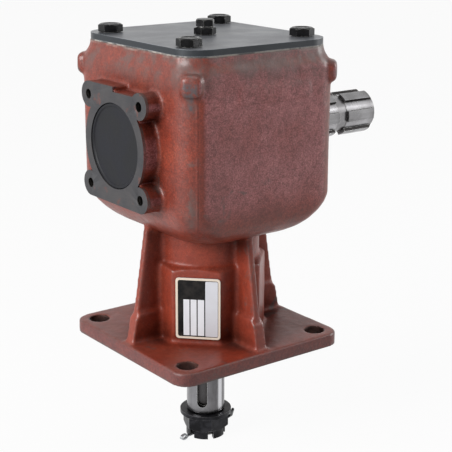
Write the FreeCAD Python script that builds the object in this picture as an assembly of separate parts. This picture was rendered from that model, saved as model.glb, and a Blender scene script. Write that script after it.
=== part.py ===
import FreeCAD, Part
import os
from math import acos, asin, atan, atan2, cos, degrees, hypot, pi, radians, sin, sqrt, tan

# Right-angle bevel gearbox with a box-shaped top housing on a ribbed pedestal.
# Millimetres. Origin: on the output axis, at the underside of the mounting flange.
# +Z is up, the input shaft points along +X, the closed bearing pad faces -X.

Vec = FreeCAD.Vector
CORNERS = [(-1, -1), (-1, 1), (1, -1), (1, 1)]

# Mounting flange
flange_side = 150.0
flange_thickness = 10.0
flange_corner_r = 12.0
flange_hole_d = 15.0
flange_hole_pitch = 120.0

# Upper housing
body_half_x = 67.0
body_half_y = 74.5
body_corner_r = 18.0
body_wall = 8.0
bearing_tube_wall = 6.0
bowl_bottom_z = 93.0
bowl_bottom_half_x = 41.0
bowl_bottom_half_y = 46.5
bowl_bottom_r = 27.0
bowl_roundness_x = 1.5
bowl_roundness_y = 2.3
bowl_top_z = 120.5
flare_bottom_z = 216.0
rim_bottom_z = 228.5
rim_top_z = 230.0
rim_half_x = 64.0
rim_half_y = 71.0
rim_corner_r = 20.5
rim_width = 11.0
corner_knob_width = 15.5
corner_knob_height = 16.0
corner_knob_r = 4.5
corner_knob_z = 212.0
corner_knob_proud = 4.4
strip_length = 63.0
strip_height = 11.0
strip_proud = 0.7
strip_centre_x = 6.0
strip_centre_z = 202.0

# Pedestal
neck_r = 41.0
column_across_flats = 88.0
column_top_z = 71.0
column_shoulder = 4.5
rib_thickness = 5.5
rib_foot_thickness = 9.5
rib_top_z = 104.0
rib_top_r = 53.8
rib_step_z = 33.0
rib_step_r = 65.0
rib_foot_r = 71.0
rib_step = 2.0
root_fillet = 3.0

# Bearing pads on both ends of the input axis
input_axis_z = 162.0
pad_face_x = 80.4
pad_ring_r = 38.5
pad_lobe_r = 9.5
pad_bolt_pitch = 66.0
pad_hole_d = 6.8
pad_hole_depth = 16.0
pad_hole_chamfer = 0.25
pad_top_drop = 3.6

# Taper roller bearings
bearing_outer_d = 62.0
input_bearing_bore = 35.0
input_bearing_width = 18.0
output_bearing_bore = 30.0
output_bearing_width = 17.25
roller_d = 6.6
roller_count = 10
roller_flats = 16
roller_angle = 13.0
race_lip = 2.2
cone_setback = 0.6
cup_share = 0.8
race_clearance = 0.05
cage_thickness = 1.2
cage_clearance = 0.25

# Retaining rings, seals and the end cap
retaining_ring_thickness = 2.0
retaining_ring_depth = 2.0
retaining_ring_width = 5.0
seal_width = 8.0
seal_recess = 0.8
seal_web = 2.4
seal_lip = 1.8
shaft_clearance = 0.05
end_cap_width = 7.0
end_cap_recess = 0.6
end_cap_wall = 2.2
end_cap_edge = 0.8
end_cap_dish = 0.7
stack_clearance = 0.1

# Straight bevel gear pair
crown_teeth = 29
pinion_teeth = 15
gear_module = 3.75
tooth_face = 17.0
pressure_angle = 20.0
tooth_backlash = 0.16
addendum_factor = 1.0
dedendum_factor = 1.22
gear_rim_factor = 1.2
root_flare = 0.1
crown_seat_d = 42.0
crown_hub_d = 62.0
crown_web_back = 16.0
pinion_seat_d = 26.0
pinion_hub_d = 44.0
key_clearance = 0.05

# Input shaft
input_shaft_d = 35.0
spline_d = 34.93
spline_root_d = 29.9
spline_tooth_width = 8.6
spline_count = 6
spline_turn = 10.0
spline_start_x = 88.0
input_end_x = 160.0
input_chamfer = 3.0
lock_groove_distance = 35.0
lock_groove_width = 9.6
lock_groove_d = 29.4
crown_key_width = 12.0
crown_key_height = 8.0
crown_shoulder_d = 50.0
crown_shoulder_width = 8.0

# Output shaft
output_shaft_d = 30.0
output_body_d = 38.0
shoulder_z = -60.7
thread_d = 22.0
thread_end_z = -81.0
thread_chamfer = 1.5
output_key_width = 8.0
output_key_depth = 4.0
output_key_top_z = -12.0
output_key_bottom_z = -55.0
output_key_angle = -137.0
pinion_key_width = 8.0
pinion_key_height = 7.0
pinion_ring_thickness = 1.5
pinion_ring_width = 2.8
pinion_ring_groove = 1.5
lower_bearing_z = 15.0
upper_bearing_z = 69.0
neck_core_r = 34.0
neck_web = 6.0
bearing_shoulder = 4.0

# Output end fasteners
washer_d = 40.5
washer_thickness = 3.0
nut_across_flats = 32.0
nut_hex_height = 12.2
nut_height = 18.2
nut_crown_d = 31.0
nut_slot_width = 4.5
cotter_d = 3.2
cotter_leg_d = 2.4
cotter_eye_r = 3.0
cotter_eye_reach = 24.0
cotter_gap = 0.3
cotter_angle = 9.0
cotter_tip_turn = -42.0

# Cover and its fittings
gasket_thickness = 1.0
cover_thickness = 4.5
cover_inset = 0.5
cover_bolt_pitch = 100.0
bolt_d = 10.0
bolt_head_af = 17.0
bolt_head_height = 6.4
bolt_length = 25.0
bolt_washer_face = 0.5
bolt_boss_r = 13.5
bolt_hole_clearance = 0.5
breather_af = 17.0
breather_hex_height = 6.0
breather_thread_d = 13.0
breather_thread_length = 10.0
breather_neck_d = 10.0
breather_neck_height = 1.2
breather_cap_af = 12.5
breather_cap_height = 7.5
level_plug_d = 16.5
level_plug_head_d = 24.0
level_plug_head_height = 5.0
level_plug_socket_af = 8.0
level_plug_boss_r = 16.0
level_plug_boss_proud = 2.5
level_plug_z = 150.0

# Data plate on the pedestal column
plate_width = 33.0
plate_height = 49.0
plate_thickness = 0.8
plate_corner_r = 2.0
plate_bottom_z = 13.2

# Worked-out places
column_apothem = column_across_flats / 2
bearing_outer_r = bearing_outer_d / 2
pinion_cone = atan(pinion_teeth / crown_teeth)
crown_cone = pi / 2 - pinion_cone
crown_pitch_r = crown_teeth * gear_module / 2
pinion_pitch_r = pinion_teeth * gear_module / 2
cone_distance = sqrt(crown_pitch_r**2 + pinion_pitch_r**2)
gasket_z = rim_top_z
cover_z = gasket_z + gasket_thickness
cover_top_z = cover_z + cover_thickness
cover_half_x = rim_half_x - cover_inset
cover_half_y = rim_half_y - cover_inset
cover_corner_r = rim_corner_r - cover_inset
seal_inner_x = pad_face_x - seal_recess - seal_width
drive_ring_x = seal_inner_x - stack_clearance - retaining_ring_thickness
drive_bearing_x = drive_ring_x - input_bearing_width
cap_ring_x = pad_face_x - end_cap_recess - end_cap_width - stack_clearance - retaining_ring_thickness
cap_bearing_x = cap_ring_x - input_bearing_width
lower_ring_z = lower_bearing_z - retaining_ring_thickness
lower_seal_z = lower_ring_z - stack_clearance - seal_width
lower_bearing_top_z = lower_bearing_z + output_bearing_width
upper_bearing_top_z = upper_bearing_z + output_bearing_width
pinion_back_z = upper_bearing_top_z + stack_clearance
toe_share = 1 - tooth_face / cone_distance
rim_depth = (dedendum_factor + gear_rim_factor) * gear_module
pinion_front_z = input_axis_z - (crown_pitch_r + rim_depth * sin(pinion_cone)) * toe_share
crown_back_x = pinion_pitch_r + crown_web_back
crown_front_x = (pinion_pitch_r + rim_depth * sin(crown_cone)) * toe_share
cap_end_x = -cap_ring_x + 0.5
pinion_ring_z = pinion_front_z + stack_clearance
shaft_top_z = pinion_ring_z + pinion_ring_thickness + 2.0
cavity_floor_z = bowl_bottom_z + body_wall
wall_inner_x = body_half_x - body_wall
cotter_z = shoulder_z - stack_clearance - washer_thickness - (nut_hex_height + nut_height) / 2


def rounded_rectangle(half_x, half_y, corner_r, z):
    """Closed wire of four lines and four arcs in a level plane."""
    edges = []
    corners = [(1, 1), (-1, 1), (-1, -1), (1, -1)]
    arc_ends = []
    for index, (sx, sy) in enumerate(corners):
        centre = Vec(sx * (half_x - corner_r), sy * (half_y - corner_r), z)
        start = radians(90 * index)
        angles = (start, start + pi / 4, start + pi / 2)
        arc_ends.append([centre + Vec(cos(a), sin(a), 0) * corner_r for a in angles])
    for index, arc in enumerate(arc_ends):
        edges.append(Part.Arc(*arc).toShape())
        following = arc_ends[(index + 1) % 4]
        edges.append(Part.LineSegment(arc[2], following[0]).toShape())
    return Part.Wire(edges)


def prism(wire, direction):
    """Solid made by pushing a flat closed wire along a vector."""
    return Part.Face(wire).extrude(direction)


def slab(half_x, half_y, corner_r, z, height):
    """Rounded rectangular slab standing on a level plane."""
    return prism(rounded_rectangle(half_x, half_y, corner_r, z), Vec(0, 0, height))


def polygon(points):
    """Closed wire through a list of points."""
    return Part.makePolygon(list(points) + [points[0]])


def spun(profile):
    """Solid of revolution about Z from (radius, height) corners."""
    wire = polygon([Vec(r, 0, z) for r, z in profile])
    return Part.Face(wire).revolve(Vec(0, 0, 0), Vec(0, 0, 1), 360)


def disc(r, z, height):
    """Plain upright cylinder."""
    return Part.makeCylinder(r, height, Vec(0, 0, z))


def ring(outer_r, inner_r, z, height):
    """Plain upright ring."""
    return disc(outer_r, z, height).cut(disc(inner_r, z - 1, height + 2))


def hexagon(across_flats, z, height):
    """Upright hexagonal bar."""
    reach = across_flats / 2 / cos(pi / 6)
    points = [Vec(reach * cos(k * pi / 3), reach * sin(k * pi / 3), z) for k in range(6)]
    return prism(polygon(points), Vec(0, 0, height))


def chamfered_hexagon(across_flats, z, height):
    """Hexagonal bar whose top corners are turned off at thirty degrees."""
    reach = across_flats / 2 / cos(pi / 6)
    flat_r = across_flats / 2 * 0.95
    slope = (reach - flat_r) * tan(radians(30))
    top = z + height
    turned = spun([(0, z), (reach, z), (reach, top - slope), (flat_r, top), (0, top)])
    return hexagon(across_flats, z, height).common(turned)


def turned_about_z(shape, degrees_about_z):
    copy = shape.copy()
    copy.rotate(Vec(0, 0, 0), Vec(0, 0, 1), degrees_about_z)
    return copy


def moved(shape, x, y, z):
    copy = shape.copy()
    copy.translate(Vec(x, y, z))
    return copy


def on_input_axis(shape, x):
    """Lay an upright shape along +X, its base at x on the input axis."""
    copy = shape.copy()
    copy.rotate(Vec(0, 0, 0), Vec(0, 1, 0), 90)
    copy.translate(Vec(x, 0, input_axis_z))
    return copy


def mirrored_x(shape):
    return shape.mirror(Vec(0, 0, 0), Vec(1, 0, 0))


def fused(shapes):
    whole = shapes[0]
    if len(shapes) > 1:
        whole = whole.multiFuse(shapes[1:])
    return whole.removeSplitter()


def edges_where(shape, test):
    """Edges of a shape whose middle point passes a test."""
    found = []
    for edge in shape.Edges:
        middle = edge.valueAt((edge.FirstParameter + edge.LastParameter) / 2)
        if test(edge, middle):
            found.append(edge)
    return found


def save(name, shape):
    shape.exportStep("parts/" + name + ".step")


# Housing

def banded_loft(sections):
    """Solid through (height, half length, half width, corner radius) sections, in narrow bands."""
    wires = [rounded_rectangle(half_x, half_y, r, z) for z, half_x, half_y, r in sections]
    return Part.makeLoft(wires, True, True)


def flare_sections(inset, steps):
    """Sections of the swept-out flare from the rim down to the walls."""
    wall_x = body_half_x - inset
    wall_y = body_half_y - inset
    sections = []
    for step in range(steps + 1):
        share = step / steps
        out = (1 - cos(pi * share)) / 2
        z = rim_bottom_z + (flare_bottom_z - rim_bottom_z) * share
        half_x = rim_half_x - inset + (body_half_x - rim_half_x) * out
        half_y = rim_half_y - inset + (body_half_y - rim_half_y) * out
        r = rim_corner_r - inset + (body_corner_r - rim_corner_r) * out
        sections.append((z, min(half_x, wall_x), min(half_y, wall_y), r))
    return sections


def bowl_sections(inset, steps):
    """Sections of the rounded bottom, from the walls in to the neck."""
    wall_x = body_half_x - inset
    wall_y = body_half_y - inset
    wall_r = body_corner_r - inset
    low_x = bowl_bottom_half_x - inset
    low_y = bowl_bottom_half_y - inset
    low_r = bowl_bottom_r - inset
    sections = []
    for step in range(steps + 1):
        down = sin(pi / 2 * step / steps)
        inward_x = (1 - down**bowl_roundness_x) ** (1 / bowl_roundness_x)
        inward_y = (1 - down**bowl_roundness_y) ** (1 / bowl_roundness_y)
        z = bowl_top_z - (bowl_top_z - bowl_bottom_z - inset) * down
        half_x = low_x + (wall_x - low_x) * inward_x
        half_y = low_y + (wall_y - low_y) * inward_y
        sections.append((z, half_x, half_y, wall_r + (low_r - wall_r) * down))
    return sections


def body_form(inset, steps):
    """Outer form of the upper housing, or its inner form when inset by a wall."""
    wall_r = body_corner_r - inset
    wall_height = flare_bottom_z - bowl_top_z
    bowl = banded_loft(bowl_sections(inset, steps))
    walls = slab(body_half_x - inset, body_half_y - inset, wall_r, bowl_top_z, wall_height)
    flare = banded_loft(flare_sections(inset, steps))
    rim_r = rim_corner_r - inset
    rim_height = rim_top_z - rim_bottom_z
    rim = slab(rim_half_x - inset, rim_half_y - inset, rim_r, rim_bottom_z, rim_height)
    return fused([bowl, walls, flare, rim])


def bearing_pad(depth):
    """Pad with four lobes, facing -X, running back into the wall."""
    half = pad_bolt_pitch / 2
    face = Vec(-pad_face_x, 0, input_axis_z)
    along = Vec(1, 0, 0)
    pieces = [Part.makeCylinder(pad_ring_r, depth, face, along)]
    for sy in (-1, 1):
        for sz in (-1, 1):
            centre = face + Vec(0, sy * half, sz * half)
            pieces.append(Part.makeCylinder(pad_lobe_r, depth, centre, along))
    low_z = -half - pad_lobe_r
    high_z = half + pad_lobe_r
    web = [
        face + Vec(0, -half, low_z),
        face + Vec(0, half, low_z),
        face + Vec(0, half * 0.62, 0),
        face + Vec(0, half, high_z),
        face + Vec(0, 0, high_z),
        face + Vec(0, 0, high_z - pad_top_drop),
        face + Vec(0, -half, high_z - pad_top_drop),
        face + Vec(0, -half * 0.62, 0),
    ]
    pieces.append(prism(polygon(web), along * depth))
    return fused(pieces)


def rib_web(turn):
    """Upper web of one pedestal rib, turned about the column."""
    low = flange_thickness - 1
    side = -rib_thickness / 2
    profile = [
        Vec(0, side, low),
        Vec(rib_foot_r - rib_step, side, low),
        Vec(rib_step_r, side, rib_step_z),
        Vec(rib_top_r, side, rib_top_z),
        Vec(0, side, rib_top_z),
    ]
    return turned_about_z(prism(polygon(profile), Vec(0, rib_thickness, 0)), turn)


def rib_foot(turn):
    """Thicker foot of one pedestal rib, ending in a small step."""
    low = flange_thickness - 1
    side = -rib_foot_thickness / 2
    profile = [
        Vec(0, side, low),
        Vec(rib_foot_r, side, low),
        Vec(rib_step_r + rib_step, side, rib_step_z - 4),
        Vec(rib_step_r - rib_step, side, rib_step_z),
        Vec(0, side, rib_step_z),
    ]
    return turned_about_z(prism(polygon(profile), Vec(0, rib_foot_thickness, 0)), turn)


def upright(edge):
    """True for an edge that runs nearly along Z."""
    if len(edge.Vertexes) < 2:
        return False
    span = edge.Vertexes[1].Point - edge.Vertexes[0].Point
    return abs(span.z) > 0.99 * span.Length


def pedestal_column():
    """Eight-sided column with a bevelled top, and the round neck it carries."""
    reach = column_apothem / cos(pi / 8)
    low = flange_thickness - 1
    turns = [pi / 8 + k * pi / 4 for k in range(8)]
    corners = [Vec(reach * cos(turn), reach * sin(turn), low) for turn in turns]
    column = prism(polygon(corners), Vec(0, 0, column_top_z - low))
    bevel = spun([(0, low), (reach + 2, low), (reach + 2, column_top_z - column_shoulder),
                  (reach, column_top_z - column_shoulder), (neck_r - 2, column_top_z), (0, column_top_z)])
    return [column.common(bevel), disc(neck_r, low, bowl_bottom_z + 6 - low)]


def pedestal():
    """Flange, column, neck and four ribs, blended at their roots."""
    flange = slab(flange_side / 2, flange_side / 2, flange_corner_r, 0, flange_thickness)
    webs = [rib_web(90 * k) for k in range(4)]
    feet = [rib_foot(90 * k) for k in range(4)]
    shape = fused(pedestal_column() + webs + feet + [flange])
    shoulder_z = column_top_z - column_shoulder

    def at_rib(edge, middle):
        close = min(abs(middle.x), abs(middle.y)) < rib_foot_thickness / 2 + 0.1
        return upright(edge) and close and hypot(middle.x, middle.y) < column_apothem + 1

    def at_foot(edge, middle):
        if abs(middle.z - flange_thickness) < 0.01:
            return hypot(middle.x, middle.y) < rib_foot_r + 1
        return at_rib(edge, middle) and flange_thickness < middle.z < rib_step_z

    def at_column_root(edge, middle):
        return at_rib(edge, middle) and rib_step_z < middle.z < shoulder_z

    def at_neck_root(edge, middle):
        return at_rib(edge, middle) and shoulder_z < middle.z < bowl_bottom_z

    for place in (at_foot, at_column_root, at_neck_root):
        shape = shape.makeFillet(root_fillet, edges_where(shape, place))
    return shape


def corner_knob(sx, sy):
    """Rounded block cast on a vertical corner, facing out along its diagonal."""
    depth = corner_knob_proud + body_wall
    knob = slab(corner_knob_height / 2, corner_knob_width / 2, corner_knob_r, 0, depth)
    front = edges_where(knob, lambda edge, middle: abs(middle.z - depth) < 0.01)
    knob = on_input_axis(knob.makeFillet(corner_knob_r - 0.5, front), body_corner_r - body_wall)
    knob = turned_about_z(knob, degrees(atan2(sy, sx)))
    x = sx * (body_half_x - body_corner_r)
    y = sy * (body_half_y - body_corner_r)
    return moved(knob, x, y, corner_knob_z - input_axis_z)


def casting_strip():
    """Low raised strip on the broad -Y wall."""
    strip = slab(strip_length / 2, strip_height / 2, 2.0, 0, strip_proud + 2)
    strip.rotate(Vec(0, 0, 0), Vec(1, 0, 0), 90)
    return moved(strip, strip_centre_x, -body_half_y + 2, strip_centre_z)


def level_plug_boss():
    """Round boss on the +Y wall for the oil level plug."""
    back = Vec(0, body_half_y - body_wall, level_plug_z)
    return Part.makeCylinder(level_plug_boss_r, body_wall + level_plug_boss_proud, back, Vec(0, 1, 0))


def housing():
    """Hollow cast housing with both pads, pedestal, flange and all its bores."""
    pad_depth = pad_face_x - wall_inner_x
    pads = [bearing_pad(pad_depth), mirrored_x(bearing_pad(pad_depth))]
    knobs = [corner_knob(sx, sy) for sx, sy in CORNERS]
    shell = fused([body_form(0, 7), pedestal()] + pads + knobs + [casting_strip(), level_plug_boss()])
    shell = shell.cut(housing_cavity())
    return shell.cut(Part.makeCompound(housing_holes()))


def housing_cavity():
    """Oil space: inner form of the walls less the bearing tubes and screw bosses."""
    half = cover_bolt_pitch / 2
    height = bolt_length - cover_thickness + 5
    boss = disc(bolt_boss_r, rim_top_z - height, height)
    kept = [moved(boss, sx * half, sy * half, 0) for sx, sy in CORNERS]
    for sign, inner_x in ((-1, cap_bearing_x), (1, drive_bearing_x)):
        start = Vec(sign * (inner_x - 1), 0, input_axis_z)
        tube_r = bearing_outer_r + bearing_tube_wall
        kept.append(Part.makeCylinder(tube_r, pad_face_x, start, Vec(sign, 0, 0)))
    return body_form(body_wall, 4).cut(Part.makeCompound(kept))


def input_bores():
    """Bearing bores with their retaining ring grooves, on both sides."""
    holes = []
    groove_r = bearing_outer_r + retaining_ring_depth
    for sign, inner_x, ring_x in ((-1, cap_bearing_x, cap_ring_x), (1, drive_bearing_x, drive_ring_x)):
        outward = Vec(sign, 0, 0)
        start = Vec(sign * (min(inner_x, wall_inner_x) - 2), 0, input_axis_z)
        groove = Vec(sign * ring_x, 0, input_axis_z)
        holes.append(Part.makeCylinder(bearing_outer_r, pad_face_x, start, outward))
        holes.append(Part.makeCylinder(groove_r, retaining_ring_thickness, groove, outward))
    return holes


def pad_screw_holes():
    """Tapped holes in the four lobes of each bearing pad."""
    holes = []
    half = pad_bolt_pitch / 2
    hole_r = pad_hole_d / 2
    for sign in (-1, 1):
        inward = Vec(-sign, 0, 0)
        for sy, sz in CORNERS:
            mouth = Vec(sign * pad_face_x, sy * half, input_axis_z + sz * half)
            holes.append(Part.makeCylinder(hole_r, pad_hole_depth, mouth, inward))
            holes.append(Part.makeCone(hole_r + pad_hole_chamfer, hole_r, pad_hole_chamfer, mouth, inward))
    return holes


def output_bores():
    """Both output bearing bores, the lower ring groove, the oil passage and the cored neck."""
    floor_z = lower_bearing_top_z + neck_web
    roof_z = upper_bearing_z - neck_web
    passage = upper_bearing_z - lower_bearing_top_z
    return [
        disc(bearing_outer_r, -1, lower_bearing_top_z + 1),
        disc(bearing_outer_r + retaining_ring_depth, lower_ring_z, retaining_ring_thickness),
        disc(bearing_outer_r - bearing_shoulder, lower_bearing_top_z - 1, passage + 2),
        disc(neck_core_r, floor_z, roof_z - floor_z),
        disc(bearing_outer_r, upper_bearing_z, cavity_floor_z + 2 - upper_bearing_z),
    ]


def housing_holes():
    """Bores, ring grooves, screw holes, bolt holes and the level plug hole."""
    holes = input_bores() + pad_screw_holes() + output_bores()
    depth = bolt_length - cover_thickness - gasket_thickness + 2
    for sx, sy in CORNERS:
        half = flange_hole_pitch / 2
        holes.append(moved(disc(flange_hole_d / 2, -1, flange_thickness + 2), sx * half, sy * half, 0))
        half = cover_bolt_pitch / 2
        holes.append(moved(disc(bolt_d / 2, rim_top_z - depth, depth + 1), sx * half, sy * half, 0))
    plug_start = Vec(0, body_half_y - body_wall - 4, level_plug_z)
    holes.append(Part.makeCylinder(level_plug_d / 2, body_wall + 12, plug_start, Vec(0, 1, 0)))
    return holes


# Cover and fittings

def with_bolt_holes(shape, z, height):
    """Take the four bolt holes out of a flat cover piece."""
    half = cover_bolt_pitch / 2
    hole = disc(bolt_d / 2 + bolt_hole_clearance, z - 1, height + 2)
    return shape.cut(Part.makeCompound([moved(hole, sx * half, sy * half, 0) for sx, sy in CORNERS]))


def cover_plate():
    plate = slab(cover_half_x, cover_half_y, cover_corner_r, cover_z, cover_thickness)
    plate = with_bolt_holes(plate, cover_z, cover_thickness)
    plate = plate.cut(disc(breather_thread_d / 2, cover_z - 1, cover_thickness + 2))
    return plate


def cover_gasket():
    gasket = slab(cover_half_x, cover_half_y, cover_corner_r, gasket_z, gasket_thickness)
    window_x = rim_half_x - rim_width
    window_y = rim_half_y - rim_width
    window = slab(window_x, window_y, rim_corner_r - rim_width, gasket_z - 1, gasket_thickness + 2)
    half = cover_bolt_pitch / 2
    eye = disc(bolt_boss_r, gasket_z - 1, gasket_thickness + 2)
    window = window.cut(Part.makeCompound([moved(eye, sx * half, sy * half, 0) for sx, sy in CORNERS]))
    return with_bolt_holes(gasket.cut(window), gasket_z, gasket_thickness)


def cover_bolt():
    hex_height = bolt_head_height - bolt_washer_face
    head = chamfered_hexagon(bolt_head_af, cover_top_z + bolt_washer_face, hex_height)
    face = disc(bolt_head_af / 2 * 0.96, cover_top_z, bolt_washer_face)
    shank = disc(bolt_d / 2 - shaft_clearance, cover_top_z - bolt_length, bolt_length)
    return fused([head, face, shank])


def cover_bolts():
    half = cover_bolt_pitch / 2
    turns = {(-1, 1): 5, (-1, -1): 12, (1, -1): 20, (1, 1): -10}
    return Part.makeCompound([moved(turned_about_z(cover_bolt(), turn), sx * half, sy * half, 0)
                              for (sx, sy), turn in turns.items()])


def breather_plug():
    hexagonal = chamfered_hexagon(breather_af, cover_top_z, breather_hex_height)
    neck = disc(breather_neck_d / 2, cover_top_z, breather_hex_height + breather_neck_height)
    thread = disc(breather_thread_d / 2, cover_top_z - breather_thread_length, breather_thread_length)
    vent = disc(1.5, cover_top_z - breather_thread_length - 1, breather_thread_length + 6)
    return fused([hexagonal, neck, thread]).cut(vent)


def breather_cap():
    base_z = cover_top_z + breather_hex_height + breather_neck_height
    return chamfered_hexagon(breather_cap_af, base_z, breather_cap_height)


def level_plug():
    head = disc(level_plug_head_d / 2, 0, level_plug_head_height)
    thread = disc(level_plug_d / 2, -11, 11)
    socket = hexagon(level_plug_socket_af, level_plug_head_height - 4, 5)
    plug = fused([head, thread]).cut(socket)
    plug.rotate(Vec(0, 0, 0), Vec(1, 0, 0), -90)
    return moved(plug, 0, body_half_y + level_plug_boss_proud, level_plug_z)


def data_plate():
    plate = slab(plate_width / 2, plate_height / 2, plate_corner_r, 0, plate_thickness)
    plate.rotate(Vec(0, 0, 0), Vec(1, 0, 0), 90)
    plate = moved(plate, 0, -column_apothem, plate_bottom_z + plate_height / 2)
    return turned_about_z(plate, -45)


# Bearings

def roller_line(bore_d, width):
    """Axis of the rollers: reach from the apex, half taper, apex height and middle height."""
    tilt = radians(roller_angle)
    mean_r = (bore_d / 2 + bearing_outer_r) / 2
    reach = mean_r / sin(tilt)
    middle_z = (cone_setback + width) / 2
    return reach, asin(roller_d / 2 / reach), middle_z - mean_r / tan(tilt), middle_z


def cone_radius(z, apex_z, angle):
    """Radius of a cone about Z at height z."""
    return (z - apex_z) * tan(angle)


def bearing_cup(bore_d, width):
    """Outer race, its thick end on z = 0."""
    reach, taper, apex_z, middle_z = roller_line(bore_d, width)
    angle = radians(roller_angle) + taper
    high = width * cup_share
    low_r = cone_radius(0, apex_z, angle) + race_clearance
    high_r = cone_radius(high, apex_z, angle) + race_clearance
    return spun([(low_r, 0), (bearing_outer_r, 0), (bearing_outer_r, high), (high_r, high)])


def bearing_cone(bore_d, width):
    """Inner race with a lip at each end of the track, its large end at z = width."""
    reach, taper, apex_z, middle_z = roller_line(bore_d, width)
    angle = radians(roller_angle) - taper
    low = cone_setback
    track_low = low + race_lip
    track_high = width - race_lip
    low_r = cone_radius(track_low, apex_z, angle) - race_clearance
    high_r = cone_radius(track_high, apex_z, angle) - race_clearance
    bore_r = bore_d / 2
    small_lip_r = low_r + race_lip / 2
    large_lip_r = high_r + race_lip
    return spun([
        (bore_r, low), (small_lip_r, low), (small_lip_r, track_low), (low_r, track_low),
        (high_r, track_high), (large_lip_r, track_high), (large_lip_r, width), (bore_r, width),
    ])


def roller(bore_d, width, turn, grow):
    """One tapered roller, drawn with flats, turned to its place round the bearing."""
    reach, taper, apex_z, middle_z = roller_line(bore_d, width)
    tilt = radians(roller_angle)
    room = (width - cone_setback) / 2 - race_lip - roller_d / 2 * sin(tilt) - cage_clearance
    half_length = room / cos(tilt) + grow
    wires = []
    for along in (reach - half_length, reach + half_length):
        r = along * tan(taper) + grow
        turns = [2 * pi * k / roller_flats for k in range(roller_flats)]
        wires.append(polygon([Vec(r * cos(a), r * sin(a), along) for a in turns]))
    body = Part.makeLoft(wires, True, True)
    body.rotate(Vec(0, 0, 0), Vec(0, 1, 0), roller_angle)
    body.translate(Vec(0, 0, apex_z))
    return turned_about_z(body, turn)


def bearing_rollers(bore_d, width, grow=0):
    """All rollers of a bearing, or their windows when grown."""
    step = 360 / roller_count
    return Part.makeCompound([roller(bore_d, width, step * k, grow) for k in range(roller_count)])


def bearing_cage(bore_d, width):
    """Conical band with a window round each roller."""
    reach, taper, apex_z, middle_z = roller_line(bore_d, width)
    tilt = radians(roller_angle)
    low = cone_setback + race_lip / 2
    high = width - race_lip / 2
    half = cage_thickness / 2 / cos(tilt)
    low_r = cone_radius(low, apex_z, tilt)
    high_r = cone_radius(high, apex_z, tilt)
    band = spun([(low_r - half, low), (low_r + half, low), (high_r + half, high), (high_r - half, high)])
    return band.cut(bearing_rollers(bore_d, width, cage_clearance))


def lay_cap_side(shape):
    return on_input_axis(shape, -cap_ring_x)


def lay_drive_side(shape):
    return on_input_axis(turned_over(shape, input_bearing_width), drive_bearing_x)


def lay_lower(shape):
    return moved(turned_over(shape, output_bearing_width), 0, 0, lower_bearing_z)


def lay_upper(shape):
    return moved(shape, 0, 0, upper_bearing_z)


def turned_over(shape, width):
    """Flip an upright bearing end for end between z = 0 and its width."""
    copy = shape.copy()
    copy.rotate(Vec(0, 0, width / 2), Vec(1, 0, 0), 180)
    return copy


bearings = {
    "input_cap_side_bearing": (input_bearing_bore, input_bearing_width, lay_cap_side),
    "input_drive_side_bearing": (input_bearing_bore, input_bearing_width, lay_drive_side),
    "output_upper_bearing": (output_bearing_bore, output_bearing_width, lay_upper),
    "output_lower_bearing": (output_bearing_bore, output_bearing_width, lay_lower),
}


# Rings, seals and end cap

def retaining_ring():
    """Internal circlip: open ring with two eyed ends, standing on z = 0."""
    outer = bearing_outer_r + retaining_ring_depth - stack_clearance
    inner = bearing_outer_r + retaining_ring_depth - retaining_ring_width
    body = ring(outer, inner, 0, retaining_ring_thickness)
    gap = Part.makeBox(10, 20, retaining_ring_thickness + 2, Vec(-5, inner - 8, -1))
    body = body.cut(gap)
    eyes = []
    holes = []
    for sx in (-1, 1):
        eye = moved(disc(3.2, 0, retaining_ring_thickness), sx * 7.5, inner - 0.6, 0)
        eyes.append(eye)
        holes.append(moved(disc(1.2, -1, retaining_ring_thickness + 2), sx * 7.5, inner - 0.9, 0))
    return fused([body] + eyes).cut(Part.makeCompound(holes))


def oil_seal(shaft_d):
    """Lip seal, standing on z = 0 with its outer face up."""
    lip_r = shaft_d / 2 + shaft_clearance
    outer = bearing_outer_r
    web = seal_width - seal_web
    profile = [
        (outer, 0), (outer, seal_width), (lip_r + seal_lip, seal_width), (lip_r, seal_width - seal_lip),
        (lip_r + seal_lip, web - 1.0), (lip_r, 1.5), (lip_r + seal_lip, 0), (lip_r + 2 * seal_lip, web),
        (outer - seal_web, web), (outer - seal_web, 0),
    ]
    return spun(profile)


def end_cap():
    """Rubber-covered cap: shallow dish with a rolled edge, outer face up."""
    r = bearing_outer_r
    top = end_cap_width
    sunk = top - end_cap_dish
    under = sunk - end_cap_wall
    profile = [
        (0, under), (r - end_cap_wall, under), (r - end_cap_wall, 0), (r, 0), (r, top - end_cap_edge),
        (r - end_cap_edge, top), (r - end_cap_wall, top), (r - end_cap_wall - end_cap_edge, sunk),
        (0, sunk),
    ]
    return spun(profile)


# Bevel gears

def tooth_points(teeth, cone, flank_points):
    """Half tooth on the developed back cone: (radius, half angle) from root to tip."""
    pitch_r = teeth * gear_module / 2 / cos(cone)
    base_r = pitch_r * cos(radians(pressure_angle))
    tip_r = pitch_r + addendum_factor * gear_module
    root_r = pitch_r - dedendum_factor * gear_module
    half_thickness = (pi * gear_module / 2 - tooth_backlash) / 2 / pitch_r

    def involute(r):
        angle = acos(min(base_r / r, 1.0))
        return tan(angle) - angle

    start_r = max(base_r, root_r + 0.25 * gear_module)
    root_half = half_thickness + involute(pitch_r) - involute(start_r) + root_flare * gear_module / root_r
    points = [(root_r, root_half)]
    for step in range(flank_points):
        r = start_r + (tip_r - start_r) * step / (flank_points - 1)
        points.append((r, half_thickness + involute(pitch_r) - involute(r)))
    return points


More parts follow.
